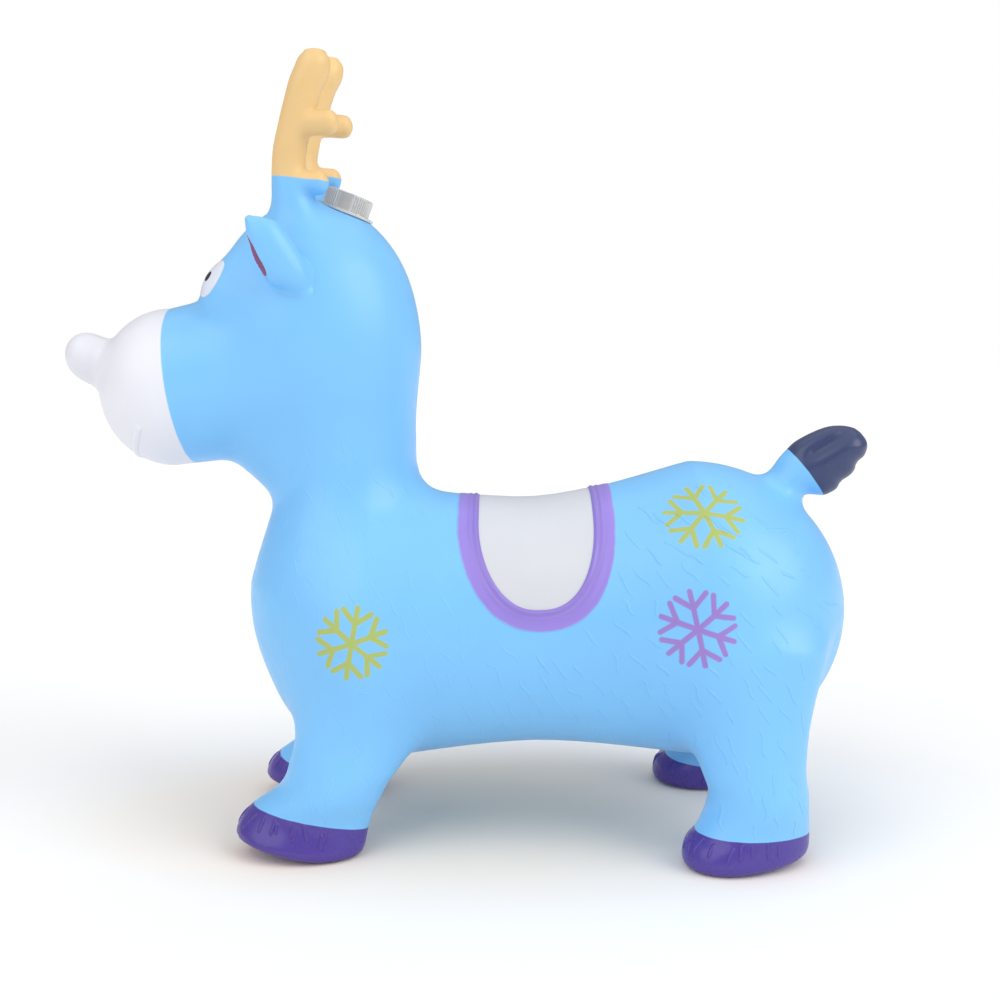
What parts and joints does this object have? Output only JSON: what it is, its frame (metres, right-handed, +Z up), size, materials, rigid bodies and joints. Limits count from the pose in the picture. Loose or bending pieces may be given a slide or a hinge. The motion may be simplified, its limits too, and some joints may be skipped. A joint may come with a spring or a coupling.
{
  "type": "inflatable hopping animal",
  "caption": "Soft inflatable hopping deer with antlers and a moulded saddle on four hooves, with a belly air plug and a screw-capped light and sound capsule in the head.",
  "frame": {"origin": "on the floor under the centre of the whole object's box", "axes": "+Z up, the head toward -X, the animal's left side toward -Y"},
  "size_m": [0.5969, 0.2264, 0.5773],
  "materials": {
    "blue_vinyl": "satin soft vinyl",
    "white_plastic": "satin",
    "clear_plastic": "clear, smoky",
    "clear_cap_plastic": "clear, smoky",
    "seal_rubber": "matte",
    "board_green": "satin",
    "lamp_red": "glossy",
    "lamp_blue": "glossy",
    "lamp_green": "glossy",
    "black_resin": "satin",
    "screw_steel": "plain",
    "tray_plastic": "matte",
    "cell_steel": "plain",
    "contact_brass": "plain",
    "speaker_card": "matte",
    "magnet_steel": "plain",
    "red_wire": "matte",
    "black_wire": "matte"
  },
  "bodies": {
    "skin_body": {"skin": "blue_vinyl"},
    "air_plug_body": {"air_plug": "white_plastic"},
    "capsule_body": {"capsule_housing": "clear_plastic", "circuit_board": "board_green", "lamp_1": "lamp_red", "lamp_2": "lamp_blue", "lamp_3": "lamp_green", "sound_chip": "black_resin", "shake_switch": "screw_steel", "battery_tray": "tray_plastic", "button_cell_1": "cell_steel", "button_cell_2": "cell_steel", "button_cell_3": "cell_steel", "battery_contact_plate": "contact_brass", "speaker_frame": "speaker_card", "speaker_magnet": "magnet_steel", "speaker_lead_red": "red_wire", "speaker_lead_black": "black_wire", "board_screw_1": "screw_steel", "board_screw_2": "screw_steel"},
    "seal_body": {"cap_seal": "seal_rubber"},
    "cap_body": {"capsule_cap": "clear_cap_plastic"}
  },
  "joints": [
    {"name": "air_plug_pull", "type": "slide", "parent": "skin_body", "child": "air_plug_body", "axis": [0, 0, -1], "range_m": [0, 0.02]},
    {"name": "capsule_lift", "type": "slide", "parent": "skin_body", "child": "capsule_body", "axis": [0.3535, 0, 0.9354], "range_m": [0, 0.034]},
    {"name": "cap_rise", "type": "slide", "parent": "capsule_body", "child": "seal_body", "axis": [0.3535, 0, 0.9354], "range_m": [0, 0.0061]},
    {"name": "cap_turn", "type": "hinge", "parent": "seal_body", "child": "cap_body", "pos_m": [-0.0905, 0, 0.46], "axis": [0.3535, 0, 0.9354], "range_deg": [0, 720]}
  ],
  "couplings": [
    {"joint": "cap_rise", "follows": "cap_turn", "m_per_rad": 0.00047746}
  ]
}
